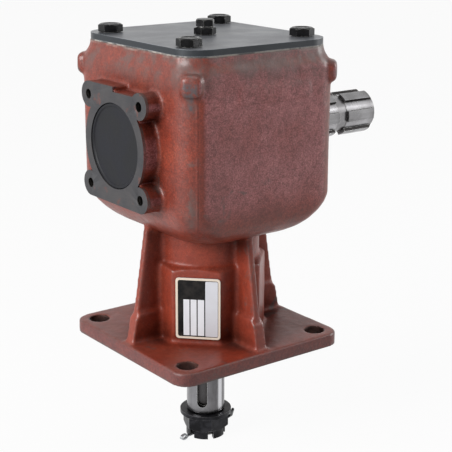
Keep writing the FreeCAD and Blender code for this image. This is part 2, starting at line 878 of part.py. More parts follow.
def gear_teeth(teeth, cone, near, far, first_turn):
    """Ring of straight bevel teeth, apex at the origin, axis +Z, cut between two level planes."""
    pitch_r = teeth * gear_module / 2
    heel_r = pitch_r / cos(cone)
    heel_z = pitch_r / tan(cone)
    half = tooth_points(teeth, cone, 4)
    outline = []
    for tooth in range(teeth):
        middle = first_turn + 2 * pi * tooth / teeth
        sides = [(r, -a) for r, a in half] + [(r, a) for r, a in reversed(half)]
        for r, developed in sides:
            turn = middle + developed / cos(cone)
            level = heel_z - (r - heel_r) * sin(cone)
            spread = r * cos(cone) / level
            outline.append((spread * cos(turn), spread * sin(turn)))
    wires = []
    for z in (near, far):
        wires.append(polygon([Vec(x * z, y * z, z) for x, y in outline]))
    return Part.makeLoft(wires, True, True)


def back_cone_point(teeth, cone, height, scale):
    """(radius, level) at a height above the pitch cone, on the back cone shrunk towards the apex."""
    pitch_r = teeth * gear_module / 2
    heel_z = pitch_r / tan(cone)
    return ((pitch_r + height * cos(cone)) * scale, (heel_z - height * sin(cone)) * scale)


def bevel_gear(teeth, cone, hub_r, bore_r, back, first_turn):
    """Straight bevel gear with its apex at the origin and its back face at z = back."""
    tip = (addendum_factor + 0.3) * gear_module
    root = (dedendum_factor - 0.02) * gear_module
    heel_z = teeth * gear_module / 2 / tan(cone)
    toe_under = back_cone_point(teeth, cone, -rim_depth, toe_share)
    heel_under = back_cone_point(teeth, cone, -rim_depth, 1)
    hub_z = max(heel_under[1], back - 6)
    behind = [heel_under, (hub_r, hub_z), (hub_r, back), (bore_r, back), (bore_r, toe_under[1])]
    crest = [back_cone_point(teeth, cone, tip, toe_share), back_cone_point(teeth, cone, tip, 1)]
    floor = [back_cone_point(teeth, cone, -root, toe_share), back_cone_point(teeth, cone, -root, 1)]
    blank = spun(crest + behind + [toe_under])
    core = spun(floor + behind + [toe_under])
    teeth_ring = gear_teeth(teeth, cone, toe_share * heel_z * 0.7, heel_z * 1.3, first_turn)
    return blank.common(teeth_ring).fuse(core).removeSplitter()


def crown_gear():
    gear = bevel_gear(crown_teeth, crown_cone, crown_hub_d / 2, crown_seat_d / 2, crown_back_x, pi)
    return on_input_axis(gear.cut(crown_key_block(key_clearance)), 0)


def pinion_gear():
    back = input_axis_z - pinion_back_z
    gear = bevel_gear(pinion_teeth, pinion_cone, pinion_hub_d / 2, pinion_seat_d / 2, back, 0)
    gear.rotate(Vec(0, 0, 0), Vec(1, 0, 0), 180)
    return moved(gear, 0, 0, input_axis_z).cut(pinion_key_block(key_clearance))


def crown_spacer():
    """Ring between the crown gear and the drive-side bearing."""
    length = drive_bearing_x - crown_back_x
    inner = input_shaft_d / 2 + shaft_clearance
    return on_input_axis(ring(crown_seat_d / 2 + 2, inner, 0, length), crown_back_x)


# Shafts and keys

def input_shaft():
    """Journals, gear seat, shoulder, seal land and the six-spline end with its lock groove."""
    journal = input_shaft_d / 2 - shaft_clearance
    seat = crown_seat_d / 2 - shaft_clearance
    body = crown_shoulder_d / 2
    neck = body - 4
    shoulder_x = crown_front_x - stack_clearance
    collar_x = shoulder_x - crown_shoulder_width
    spline_r = spline_d / 2
    profile = [
        (0, cap_end_x), (journal - 1, cap_end_x), (journal, cap_end_x + 1), (journal, -cap_bearing_x),
        (neck, -cap_bearing_x), (neck, collar_x), (body, collar_x), (body, shoulder_x),
        (seat, shoulder_x), (seat, crown_back_x), (journal, crown_back_x),
        (journal, spline_start_x), (spline_r, spline_start_x), (spline_r, input_end_x - input_chamfer),
        (spline_r - input_chamfer, input_end_x), (0, input_end_x),
    ]
    groove_x = input_end_x - lock_groove_distance - lock_groove_width / 2
    groove = ring(spline_r + 2, lock_groove_d / 2, groove_x, lock_groove_width)
    cuts = spline_gaps() + [groove, crown_key_block(key_clearance)]
    return on_input_axis(spun(profile).cut(Part.makeCompound(cuts)), 0)


def spline_gaps():
    """Gaps between the straight-sided spline teeth, as upright cutters."""
    start = spline_start_x + 4
    length = input_end_x - start + 2
    half_turn = pi / spline_count
    reach = 2 * spline_d
    apex = spline_tooth_width / 2 / sin(half_turn)
    sector = polygon([
        Vec(apex, 0, start),
        Vec(apex + reach * cos(half_turn), -reach * sin(half_turn), start),
        Vec(apex + reach * cos(half_turn), reach * sin(half_turn), start),
    ])
    wedge = prism(sector, Vec(0, 0, length))
    gap = ring(spline_d / 2 + 2, spline_root_d / 2, start, length).common(wedge)
    step = 360 / spline_count
    return [turned_about_z(gap, step * (k + 0.5) + spline_turn) for k in range(spline_count)]


def crown_key_block(grow):
    """Parallel key under the crown gear, upright form, with optional growth for its seat."""
    base = crown_seat_d / 2 - crown_key_height * 0.62
    half = crown_key_width / 2 + grow
    low = crown_front_x + 1
    length = crown_back_x - low - 1
    corner = Vec(base - grow, -half, low - grow)
    return Part.makeBox(crown_key_height + grow, 2 * half, length + 2 * grow, corner)


def pinion_key_block(grow):
    """Parallel key under the pinion, with optional growth for its seat."""
    low = pinion_back_z + 2
    length = pinion_front_z - low - 3
    base = pinion_seat_d / 2 - pinion_key_height * 0.57
    half = pinion_key_width / 2 + grow
    corner = Vec(base - grow, -half, low - grow)
    return Part.makeBox(pinion_key_height * 0.9 + grow, 2 * half, length + 2 * grow, corner)


def output_shaft():
    """Stepped shaft: pinion seat on top, two journals, keyed end and threaded stub below."""
    journal = output_shaft_d / 2 - shaft_clearance
    seat = pinion_seat_d / 2 - shaft_clearance
    body = output_body_d / 2
    stub = thread_d / 2
    groove_r = seat - pinion_ring_groove
    profile = [
        (0, thread_end_z), (stub - thread_chamfer, thread_end_z), (stub, thread_end_z + thread_chamfer),
        (stub, shoulder_z), (journal - 1.0, shoulder_z), (journal, shoulder_z + 1.0),
        (journal, lower_bearing_top_z), (body, lower_bearing_top_z), (body, upper_bearing_z),
        (journal, upper_bearing_z), (journal, upper_bearing_top_z), (seat, upper_bearing_top_z),
        (seat, pinion_ring_z), (groove_r, pinion_ring_z), (groove_r, pinion_ring_z + pinion_ring_thickness),
        (seat, pinion_ring_z + pinion_ring_thickness), (seat, shaft_top_z - 1.0), (seat - 1.0, shaft_top_z),
        (0, shaft_top_z),
    ]
    shaft = spun(profile)
    shaft = shaft.cut(output_keyway())
    shaft = shaft.cut(pinion_key_block(key_clearance))
    hole = Part.makeCylinder(cotter_d / 2 + 0.3, 2 * thread_d, Vec(-thread_d, 0, cotter_z), Vec(1, 0, 0))
    return shaft.cut(turned_about_z(hole, cotter_angle))


def output_keyway():
    """Open keyway with round ends, down the journal below the flange."""
    half = output_key_width / 2
    floor = output_shaft_d / 2 - output_key_depth
    length = output_key_top_z - output_key_bottom_z - output_key_width
    corner = Vec(floor, -half, output_key_bottom_z + half)
    box = Part.makeBox(output_key_depth + 2, 2 * half, length, corner)
    ends = [Part.makeCylinder(half, output_key_depth + 2, Vec(floor, 0, z), Vec(1, 0, 0))
            for z in (output_key_bottom_z + half, output_key_top_z - half)]
    return turned_about_z(fused([box] + ends), output_key_angle)


def pinion_ring():
    """External retaining ring above the pinion."""
    inner = pinion_seat_d / 2 - pinion_ring_groove + shaft_clearance
    body = ring(inner + pinion_ring_width, inner, pinion_ring_z, pinion_ring_thickness)
    gap = Part.makeBox(20, 7, pinion_ring_thickness + 2, Vec(0, -3.5, pinion_ring_z - 1))
    return body.cut(gap)


# Output end fasteners

def flat_washer():
    top = shoulder_z - stack_clearance
    return ring(washer_d / 2, thread_d / 2 + 0.5, top - washer_thickness, washer_thickness)


def castle_nut():
    """Slotted nut: hexagon above, round crown with six slots below."""
    top = shoulder_z - stack_clearance - washer_thickness
    upright_nut = chamfered_hexagon(nut_across_flats, 0, nut_hex_height)
    crown = disc(nut_crown_d / 2, nut_hex_height - 1, nut_height - nut_hex_height + 1)
    body = fused([upright_nut, crown]).cut(disc(thread_d / 2 + shaft_clearance, -1, nut_height + 2))
    slots = []
    for k in range(3):
        slot = Part.makeBox(2 * nut_across_flats, nut_slot_width, nut_height,
                            Vec(-nut_across_flats, -nut_slot_width / 2, nut_hex_height))
        slots.append(turned_about_z(slot, 60 * k))
    body = body.cut(Part.makeCompound(slots))
    body.rotate(Vec(0, 0, 0), Vec(1, 0, 0), 180)
    return moved(turned_about_z(body, cotter_angle), 0, 0, top)


def rod(start, end, r):
    """Round rod between two points, with a ball at its far end."""
    run = end - start
    return [Part.makeCylinder(r, run.Length, start, run), Part.makeSphere(r, end)]


def cotter_pin():
    """Split pin: eye on one side, shank through the stub, one leg bent up round the nut."""
    r = cotter_d / 2
    leg_r = cotter_leg_d / 2
    exit_x = nut_across_flats / 2 / cos(pi / 6) + cotter_gap + leg_r
    tip_r = max(washer_d / 2 + cotter_gap + leg_r, exit_x)
    tip_z = shoulder_z - washer_thickness - cotter_z
    turn = radians(cotter_tip_turn)
    neck_x = -cotter_eye_reach + cotter_eye_r
    shank = Part.makeCylinder(r, exit_x - leg_r - neck_x, Vec(neck_x, 0, 0), Vec(1, 0, 0))
    eye = ring(cotter_eye_r + leg_r / 2, cotter_eye_r - leg_r / 2, -leg_r, 2 * leg_r)
    eye.rotate(Vec(0, 0, 0), Vec(1, 0, 0), 90)
    start = Vec(exit_x, 0, 0)
    middle = Vec(tip_r * 1.04 * cos(turn / 2), tip_r * 1.04 * sin(turn / 2), tip_z * 0.45)
    tip = Vec(tip_r * cos(turn), tip_r * sin(turn), tip_z)
    bends = [Part.makeSphere(leg_r, start)] + rod(start, middle, leg_r) + rod(middle, tip, leg_r)
    link = Part.makeCylinder(leg_r, r + leg_r, Vec(exit_x - r - leg_r, 0, 0), Vec(1, 0, 0))
    pin = fused([shank, moved(eye, -cotter_eye_reach, 0, 0), link] + bends)
    return moved(turned_about_z(pin, cotter_angle), 0, 0, cotter_z)


os.makedirs("parts", exist_ok=True)
save("housing", housing())
save("cover_plate", cover_plate())
save("cover_gasket", cover_gasket())
save("cover_bolts", cover_bolts())
save("breather_plug", breather_plug())
save("breather_cap", breather_cap())
save("level_plug", level_plug())
save("data_plate", data_plate())
save("end_cap", mirrored_x(on_input_axis(end_cap(), pad_face_x - end_cap_recess - end_cap_width)))
save("input_oil_seal", on_input_axis(oil_seal(input_shaft_d), seal_inner_x))
save("cap_side_retaining_ring", mirrored_x(on_input_axis(retaining_ring(), cap_ring_x)))
save("drive_side_retaining_ring", on_input_axis(retaining_ring(), drive_ring_x))
save("lower_retaining_ring", moved(retaining_ring(), 0, 0, lower_ring_z))
save("output_oil_seal", moved(turned_over(oil_seal(output_shaft_d), seal_width), 0, 0, lower_seal_z))
for name, (bore, width, lay) in bearings.items():
    save(name + "_cup", lay(bearing_cup(bore, width)))
    save(name + "_cone", lay(bearing_cone(bore, width)))
    save(name + "_cage", lay(bearing_cage(bore, width)))
    save(name + "_rollers", lay(bearing_rollers(bore, width)))
save("input_shaft", input_shaft())
save("crown_gear", crown_gear())
save("crown_gear_key", on_input_axis(crown_key_block(0), 0))
save("crown_gear_spacer", crown_spacer())
save("output_shaft", output_shaft())
save("pinion_gear", pinion_gear())
save("pinion_key", pinion_key_block(0))
save("pinion_retaining_ring", pinion_ring())
save("flat_washer", flat_washer())
save("castle_nut", castle_nut())
save("cotter_pin", cotter_pin())
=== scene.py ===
from math import cos, hypot, pi, radians, sin

import bmesh
import bpy
from mathutils import Matrix, Vector, noise

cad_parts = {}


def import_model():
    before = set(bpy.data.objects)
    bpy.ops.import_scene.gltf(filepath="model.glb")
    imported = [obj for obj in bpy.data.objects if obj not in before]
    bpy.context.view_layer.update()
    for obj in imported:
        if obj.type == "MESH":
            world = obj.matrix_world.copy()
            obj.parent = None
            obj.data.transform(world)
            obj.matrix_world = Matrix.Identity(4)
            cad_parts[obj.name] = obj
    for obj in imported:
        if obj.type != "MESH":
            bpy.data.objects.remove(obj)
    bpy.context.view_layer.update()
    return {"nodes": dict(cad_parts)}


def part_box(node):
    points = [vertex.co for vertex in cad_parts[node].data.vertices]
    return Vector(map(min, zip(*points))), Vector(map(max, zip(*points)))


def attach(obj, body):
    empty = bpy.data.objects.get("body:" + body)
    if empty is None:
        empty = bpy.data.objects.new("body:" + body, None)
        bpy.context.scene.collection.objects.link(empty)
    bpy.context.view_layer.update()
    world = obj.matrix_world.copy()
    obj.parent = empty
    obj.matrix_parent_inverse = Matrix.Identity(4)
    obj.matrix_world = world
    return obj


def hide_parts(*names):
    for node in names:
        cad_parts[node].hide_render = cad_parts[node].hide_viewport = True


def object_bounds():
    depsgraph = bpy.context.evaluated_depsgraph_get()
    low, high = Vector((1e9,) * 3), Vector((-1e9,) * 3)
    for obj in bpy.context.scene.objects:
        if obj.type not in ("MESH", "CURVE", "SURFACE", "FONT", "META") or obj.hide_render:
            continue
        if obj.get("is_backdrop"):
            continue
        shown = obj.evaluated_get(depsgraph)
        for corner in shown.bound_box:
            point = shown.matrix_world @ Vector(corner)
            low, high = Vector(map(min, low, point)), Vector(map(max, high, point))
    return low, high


# Looks of a right-angle bevel gearbox. Metres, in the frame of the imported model:
# origin on the output axis at the flange's underside, +Z up, input shaft along +X.

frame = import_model()
nodes = frame["nodes"]
MM = 0.001

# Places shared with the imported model
AXIS_Z = 162 * MM
PAD_X = 80.4 * MM
BORE_R = 31 * MM
PAD_HOLE_R = 3.4 * MM
PAD_PITCH = 66 * MM
FLANGE_TOP = 10 * MM
FLANGE_HOLE_R = 7.5 * MM
FLANGE_PITCH = 120 * MM
BODY_HALF_X = 67 * MM
BODY_HALF_Y = 74.5 * MM
BODY_CORNER_R = 18 * MM
RIM_TOP = 230 * MM
COLUMN_APOTHEM = 44 * MM
COVER_BOLT_PITCH = 100 * MM
PIN_TURN = radians(9)
PIN_EYE_R = 4.2 * MM

# Camera, fitted to the photograph
PICTURE_SIDE = 452
FOCAL_PIXELS = 1202.15
CAMERA_PLACE = Vector((-520.03, -713.38, 344.63)) * MM
CAMERA_AZIMUTH = radians(-37.110)
CAMERA_PITCH = radians(16.123)
CAMERA_ROLL = radians(0.220)
SENSOR = 36.0


# Material helpers

def srgb(code):
    """Linear colour from a six-digit display colour."""
    values = []
    for start in (0, 2, 4):
        v = int(code[start:start + 2], 16) / 255
        values.append(v / 12.92 if v <= 0.04045 else ((v + 0.055) / 1.055) ** 2.4)
    return (*values, 1.0)


class Nodes:
    """Short way to build one material's node tree."""

    def __init__(self, name):
        self.material = bpy.data.materials.new(name)
        self.material.use_nodes = True
        self.tree = self.material.node_tree
        self.shader = self.tree.nodes["Principled BSDF"]
        coordinates = self.tree.nodes.new("ShaderNodeTexCoord")
        self.place = coordinates.outputs["Object"]
        self.x, self.y, self.z = self.parts(self.place)
        self.normal_x, self.normal_y, self.normal_z = self.parts(coordinates.outputs["Normal"])
        self.geometry = self.tree.nodes.new("ShaderNodeNewGeometry")

    def link(self, source, target):
        self.tree.links.new(source, target)

    def put(self, socket, value):
        """Link a socket, or set a plain value."""
        if isinstance(value, bpy.types.NodeSocket):
            self.link(value, socket)
        else:
            socket.default_value = value

    def parts(self, vector):
        node = self.tree.nodes.new("ShaderNodeSeparateXYZ")
        self.link(vector, node.inputs["Vector"])
        return node.outputs["X"], node.outputs["Y"], node.outputs["Z"]

    def scaled(self, scale, move=(0, 0, 0)):
        node = self.tree.nodes.new("ShaderNodeMapping")
        self.link(self.place, node.inputs["Vector"])
        node.inputs["Scale"].default_value = scale
        node.inputs["Location"].default_value = move
        return node.outputs["Vector"]

    def noise(self, scale, detail, rough, distort=0.0, place=None, move=(0, 0, 0)):
        node = self.tree.nodes.new("ShaderNodeTexNoise")
        if place is None:
            place = self.scaled((1, 1, 1), move) if any(move) else self.place
        self.link(place, node.inputs["Vector"])
        node.inputs["Scale"].default_value = scale
        node.inputs["Detail"].default_value = detail
        node.inputs["Roughness"].default_value = rough
        node.inputs["Distortion"].default_value = distort
        return node.outputs["Fac"]

    def cells(self, scale):
        node = self.tree.nodes.new("ShaderNodeTexVoronoi")
        self.link(self.place, node.inputs["Vector"])
        node.inputs["Scale"].default_value = scale
        return node.outputs["Distance"]

    def ramp(self, source, low, high, out_low=0.0, out_high=1.0):
        """Smooth step from out_low at low to out_high at high."""
        node = self.tree.nodes.new("ShaderNodeMapRange")
        node.interpolation_type = "SMOOTHSTEP"
        self.link(source, node.inputs["Value"])
        for name, value in (("From Min", low), ("From Max", high), ("To Min", out_low), ("To Max", out_high)):
            node.inputs[name].default_value = value
        return node.outputs["Result"]

    def band(self, source, start, full, fade, end):
        """1 between full and fade, 0 before start and after end."""
        return self.times(self.ramp(source, start, full), self.ramp(source, fade, end, 1, 0))

    def maths(self, kind, a, b=0.0):
        node = self.tree.nodes.new("ShaderNodeMath")
        node.operation = kind
        self.put(node.inputs[0], a)
        self.put(node.inputs[1], b)
        return node.outputs["Value"]

    def times(self, a, b):
        return self.maths("MULTIPLY", a, b)

    def plus(self, a, b):
        return self.maths("ADD", a, b)

    def minus(self, a, b):
        return self.maths("SUBTRACT", a, b)

    def larger(self, a, b):
        return self.maths("MAXIMUM", a, b)

    def smaller(self, a, b):
        return self.maths("MINIMUM", a, b)

    def size(self, a):
        return self.maths("ABSOLUTE", a)

    def radius(self, a, b):
        return self.maths("SQRT", self.plus(self.times(a, a), self.times(b, b)))

    def mix(self, share, a, b):
        node = self.tree.nodes.new("ShaderNodeMix")
        node.data_type = "RGBA"
        self.put(node.inputs["Factor"], share)
        self.put(node.inputs["A"], a)
        self.put(node.inputs["B"], b)
        return node.outputs["Result"]

    def tint(self, colour, share, code):
        """A share of one more display colour over what is there."""
        return self.mix(share, colour, srgb(code))

    def cavity(self, distance):
        """1 in the open, towards 0 in corners and recesses."""
        node = self.tree.nodes.new("ShaderNodeAmbientOcclusion")
        node.samples = 6
        node.inputs["Distance"].default_value = distance
        return node.outputs["AO"]

    def edges(self, radius):
        """1 near sharp edges, 0 on flats."""
        node = self.tree.nodes.new("ShaderNodeBevel")
        node.samples = 6
        node.inputs["Radius"].default_value = radius
        turn = self.tree.nodes.new("ShaderNodeVectorMath")
        turn.operation = "DOT_PRODUCT"
        self.link(node.outputs["Normal"], turn.inputs[0])
        self.link(self.geometry.outputs["Normal"], turn.inputs[1])
        return self.ramp(self.minus(1.0, turn.outputs["Value"]), 0.02, 0.20)

    def bump(self, height, strength, distance, before=None):
        node = self.tree.nodes.new("ShaderNodeBump")
        node.inputs["Strength"].default_value = strength
        node.inputs["Distance"].default_value = distance
        self.link(height, node.inputs["Height"])
        if before is not None:
            self.link(before, node.inputs["Normal"])
        return node.outputs["Normal"]

    def finish(self, colour, roughness, metal=0.0, normal=None, specular=0.5):
        """Fill in the shader; a specular of None leaves that socket as it is linked."""
        self.put(self.shader.inputs["Base Color"], colour)
        self.put(self.shader.inputs["Roughness"], roughness)
        self.put(self.shader.inputs["Metallic"], metal)
        if specular is not None:
            self.shader.inputs["Specular IOR Level"].default_value = specular
        if normal is not None:
            self.link(normal, self.shader.inputs["Normal"])
        return self.material


# Paint of the casting. Its zones follow the shape by height and by place.

BOWL_SHOULDER = (105 * MM, 135 * MM)
PEDESTAL_TOP = (70 * MM, 105 * MM)
PITS_FROM = (80 * MM, 105 * MM)
FLANGE_ZONE = (20 * MM, 50 * MM)
FLANGE_SIDE = (8.8 * MM, 10.2 * MM)
FLANGE_SIDE_OUT = (62 * MM, 70 * MM)
FLARE_ZONE = (200 * MM, 222 * MM)
KNOB_ZONE = (193 * MM, 197 * MM, 212 * MM, 217 * MM)
SEALANT_ZONE = (228.2 * MM, 229.0 * MM)
WALL_ZONE = (90 * MM, 120 * MM)
SEAM_ZONE = (108 * MM, 118 * MM, 198 * MM, 203 * MM)
SEAM_TURN = radians(56.5)
# Product of x and y in square metres, large and positive only at two opposite corners
SEAM_CORNERS = (0.0020, 0.0022)


def cast_paint():
    """Red-oxide primer sprayed on rough cast iron, rubbed grey on rims, knobs and edges, with painted shade in
    its hollows and a painted sheen on the broad -Y wall.
    """
    n = Nodes("cast_paint")
    cloud = n.noise(38, 5, 0.6, move=(3, 1, 2))
    grain = n.noise(900, 4, 0.7)
    rubbed = n.noise(46, 6, 0.62, 0.4, move=(7, 4, 1))
    colour = n.mix(n.ramp(n.noise(14, 3, 0.5), 0.36, 0.64), srgb("8c3826"), srgb("7c3528"))
    colour = n.tint(colour, n.ramp(cloud, 0.45, 0.75, 0, 0.45), "96462f")
    # Pink dust and painted sheen: paler paint on faces that look towards -Y.
    dust_and_sheen = dust_and_sheen_wall(n, cloud)
    colour = n.tint(colour, dust_and_sheen, "b87779")
    colour = n.tint(colour, n.times(settled_dust(n), n.ramp(cloud, 0.35, 0.6)), "74514a")
    colour = n.tint(colour, n.ramp(n.noise(170, 4, 0.6, move=(5, 2, 9)), 0.36, 0.64, 0.24, 0), "4a211b")
    grainy = n.times(n.ramp(grain, 0.40, 0.60, 1, 0), n.ramp(n.z, *PEDESTAL_TOP, 0.22, 0.46))
    colour = n.tint(colour, grainy, "33150f")
    pits = n.ramp(n.noise(340, 3, 0.6, move=(6, 1, 4)), 0.38, 0.52, 1, 0)
    colour = n.tint(colour, n.times(pits, n.ramp(n.z, *PITS_FROM, 0.10, 0.34)), "4a1f19")
    # Pale grain specks on the -Y wall, partly dust grain and partly painted glints.
    colour = n.tint(colour, n.times(n.ramp(grain, 0.55, 0.66), n.ramp(dust_and_sheen, 0.1, 1, 0, 0.26)), "c9a8a4")
    colour = stained_flange_side(n, colour, cloud, grain)
    colour = n.tint(colour, n.times(n.ramp(n.cells(300), 0.0, 0.16, 1, 0), 0.22), "b39a90")
    colour = n.tint(colour, worn_share(n, rubbed), "504845")
    knob_wear = n.ramp(n.noise(330, 3, 0.6, move=(4, 4, 2)), 0.42, 0.56, 0.1, 0.85)
    knob = n.times(n.band(n.z, *KNOB_ZONE), knob_wear)
    colour = n.tint(colour, n.times(knob, past_corner(n, (60 * MM, 62.5 * MM), (66 * MM, 69 * MM))), "484548")
    squeezed = n.times(n.ramp(n.z, *SEALANT_ZONE), n.ramp(cloud, 0.45, 0.62, 0, 0.5))
    colour = n.tint(colour, squeezed, "8f8780")
    # Painted shade: darker towards hollows and recesses, from ambient occlusion.
    colour = n.tint(colour, n.ramp(n.cavity(24 * MM), 0.23, 0.85, 0.92, 0), "1a0806")
    skin = n.plus(n.times(grain, 0.7), n.times(n.noise(2200, 2, 0.5), 0.3))
    relief = n.bump(skin, 0.34, 0.35 * MM)
    relief = n.bump(n.noise(120, 3, 0.5), 0.45, 0.8 * MM, relief)
    relief = n.bump(parting_line(n), 0.5, 0.5 * MM, relief)
    n.link(n.ramp(n.cavity(70 * MM), 0.45, 0.95, 0.05, 0.45), n.shader.inputs["Specular IOR Level"])
    return n.finish(colour, n.ramp(cloud, 0.3, 0.7, 0.33, 0.45), 0.0, relief, None)


def dust_and_sheen_wall(n, cloud):
    """Pink dust and painted sheen on the broad -Y wall, above the bowl."""
    to_front = n.ramp(n.times(n.normal_y, -1), 0.93, 0.999)
    dust_and_sheen = n.times(to_front, n.ramp(n.z, *BOWL_SHOULDER))
    return n.times(dust_and_sheen, n.ramp(cloud, 0.30, 0.65, 0.50, 0.85))


def settled_dust(n):
    """Dust on level surfaces, except the flange's near corner, which is wiped clean."""
    wiped = n.ramp(n.larger(n.x, n.y), -20 * MM, -5 * MM, 1, 0)
    wiped = n.times(wiped, n.ramp(n.plus(n.x, n.y), -125 * MM, -100 * MM))
    wiped = n.times(wiped, n.ramp(n.z, *FLANGE_ZONE, 1, 0))
    return n.times(n.ramp(n.normal_z, 0.55, 0.95, 0, 0.45), n.ramp(wiped, 0, 1, 1, 0.15))


def stained_flange_side(n, colour, cloud, grain):
    """Darker, grainier paint on the flange's four upright sides."""
    out = n.larger(n.size(n.x), n.size(n.y))
    side = n.times(n.ramp(n.z, *FLANGE_SIDE, 1, 0), n.ramp(out, *FLANGE_SIDE_OUT))
    colour = n.tint(colour, n.times(side, n.ramp(cloud, 0.35, 0.65, 0.30, 0.62)), "4f3538")
    return n.tint(colour, n.times(side, n.ramp(grain, 0.40, 0.56, 0.40, 0)), "2a1618")


def past_corner(n, along_x, along_y):
    """1 past both limits, which is on or beyond an upright corner of the body."""
    return n.smaller(n.ramp(n.size(n.x), *along_x), n.ramp(n.size(n.y), *along_y))


def worn_share(n, rubbed):
    """Where paint is rubbed off: loose patches, the flare, edges and upright corners."""
    patch = n.times(n.ramp(rubbed, 0.60, 0.68), n.ramp(n.noise(9, 2, 0.5, move=(1, 8, 3)), 0.42, 0.58))
    flare = n.times(n.ramp(n.z, *FLARE_ZONE), n.ramp(rubbed, 0.44, 0.60, 0.05, 0.62))
    edge = n.ramp(n.geometry.outputs["Pointiness"], 0.515, 0.56, 0, 1)
    edge = n.times(edge, n.ramp(rubbed, 0.40, 0.60, 0.15, 0.8))
    corner = n.times(past_corner(n, (56 * MM, 63 * MM), (62 * MM, 69 * MM)), n.ramp(n.z, *WALL_ZONE))
    corner = n.times(corner, n.ramp(rubbed, 0.47, 0.60, 0.0, 0.75))
    return n.larger(n.larger(n.times(patch, 0.75), n.larger(flare, edge)), corner)


def parting_line(n):
    """Mould seam down the front corner and the corner opposite: 1 on the seam, 0 elsewhere."""
    across_x = n.minus(n.size(n.x), BODY_HALF_X - BODY_CORNER_R)
    across_y = n.minus(n.size(n.y), BODY_HALF_Y - BODY_CORNER_R)
    off = n.minus(n.times(across_x, sin(SEAM_TURN)), n.times(across_y, cos(SEAM_TURN)))
    line = n.ramp(n.size(off), 0.2 * MM, 1.2 * MM, 1, 0)
    line = n.times(line, n.ramp(n.times(n.x, n.y), *SEAM_CORNERS))
    line = n.times(line, n.band(n.z, *SEAM_ZONE))
    return n.times(line, n.ramp(n.noise(60, 3, 0.6), 0.35, 0.6, 0.35, 1.0))


# Metals, rubber, sealant and print

KEYWAY_EDGE = (13.6 * MM, 14.4 * MM)
KEYWAY_LOW = (-60 * MM, -59 * MM)
# Where the painted reflection line on the output shaft faces at rest, in X and Y
REFLECTION_LINE = (0.235, -0.972)
SPLINE_GROOVE = (15.1 * MM, 15.5 * MM)
LOCK_GROOVE_FLOOR = (15.4 * MM, 16.4 * MM)
LOCK_GROOVE = (118.5 * MM, 121.5 * MM, 129.8 * MM, 130.6 * MM)
SPLINE_END = (150 * MM, 159 * MM)
PIN_TAIL = (6 * MM, 14 * MM)
# Which way the pin's bent end points, in +X and -Y
PIN_TAIL_WAY = (0.8, 0.6)


def bare_iron():
    """Milled grey iron of the bearing pads, with a breath of red overspray."""
    n = Nodes("bare_iron")
    cloud = n.noise(60, 4, 0.6)
    scratch = n.noise(900, 3, 0.6, place=n.scaled((1, 0.12, 1)))
    colour = n.mix(n.ramp(cloud, 0.35, 0.65), srgb("323235"), srgb("3f3d3e"))
    colour = n.tint(colour, n.ramp(n.noise(75, 5, 0.65, move=(2, 5, 1)), 0.60, 0.68, 0, 0.75), "5e3a33")
    colour = n.tint(colour, n.ramp(scratch, 0.3, 0.7, 0.25, 0), "2a2b2d")
    return n.finish(colour, n.ramp(cloud, 0.3, 0.7, 0.42, 0.58), 0.15, n.bump(scratch, 0.15, 0.1 * MM), 0.3)


def cover_paint():
    """Oiled dark grey plate with a soft sheen, painted shade on its sides and a painted highlight along its
    edges.
    """
    n = Nodes("cover_steel")
    cloud = n.noise(30, 4, 0.6)
    fine = n.noise(900, 3, 0.6)
    top = n.mix(n.ramp(cloud, 0.35, 0.65), srgb("54575c"), srgb("66676b"))
    # Painted shade: the plate's sides are much darker than its top.
    colour = n.mix(n.ramp(n.normal_z, 0.5, 0.9), srgb("1e2328"), top)
    colour = n.tint(colour, n.ramp(fine, 0.35, 0.65, 0.25, 0), "2c2f33")
    # Painted highlight: a pale line along the plate's edges.
    colour = n.tint(colour, n.times(n.edges(0.6 * MM), n.ramp(cloud, 0.35, 0.6, 0.3, 0.8)), "a5abb3")
    return n.finish(colour, n.ramp(cloud, 0.3, 0.7, 0.32, 0.48), 0.3, n.bump(fine, 0.12, 0.1 * MM))


def dark_steel(name, light="141416", dark="070708", rough=(0.22, 0.36), rub_and_highlight="a3a2a0"):
    """Black-oxide steel with pale edges, partly rubbed wear and partly a painted highlight."""
    n = Nodes(name)
    cloud = n.noise(160, 4, 0.6)
    colour = n.mix(n.ramp(cloud, 0.35, 0.7), srgb(dark), srgb(light))
    # Pale edges: partly rubbed wear, partly a painted highlight.
    colour = n.tint(colour, n.times(n.edges(0.45 * MM), n.ramp(n.noise(420, 3, 0.6), 0.40, 0.56, 0.15, 1.0)), rub_and_highlight)
    relief = n.bump(n.noise(1500, 3, 0.6), 0.15, 0.1 * MM)
    return n.finish(colour, n.ramp(cloud, 0.3, 0.7, *rough), 0.6, relief, 0.3)


def bright_steel(name, lines=(1, 1, 1), light="8f8e90", dark="6b6a6b", rough=(0.2, 0.32), shade_reach=3 * MM,
                 tones_and_painted_light=None):
    """Turned or ground steel with fine tool lines, a painted highlight along its edges and painted shade in its
    corners.
    """
    n = Nodes(name)
    lined = n.noise(700, 3, 0.6, place=n.scaled(lines))
    cloud = n.noise(70, 4, 0.6)
    streak = n.noise(150, 3, 0.55, 0.3, place=n.scaled(tuple(0.12 if v < 1 else 1 for v in lines)))
    colour = n.mix(n.ramp(cloud, 0.3, 0.7), srgb(light), srgb(dark))
    colour = n.tint(colour, n.ramp(streak, 0.40, 0.60, 0.28, 0), "3a3938")
    colour = n.tint(colour, n.ramp(lined, 0.35, 0.65, 0.22, 0), "484642")
    # Extra tones, painted reflection and painted shade among them.
    if tones_and_painted_light is not None:
        colour = tones_and_painted_light(n, colour)
    # Painted shade: darker towards corners and recesses.
    colour = n.tint(colour, n.ramp(n.cavity(shade_reach), 0.46, 0.94, 0.92, 0), "171412")
    # Painted highlight: near-white along every edge.
    colour = n.tint(colour, n.times(n.edges(0.4 * MM), 0.75), "f2f1ef")
    return n.finish(colour, n.ramp(cloud, 0.3, 0.7, *rough), 0.95, n.bump(lined, 0.12, 0.08 * MM))


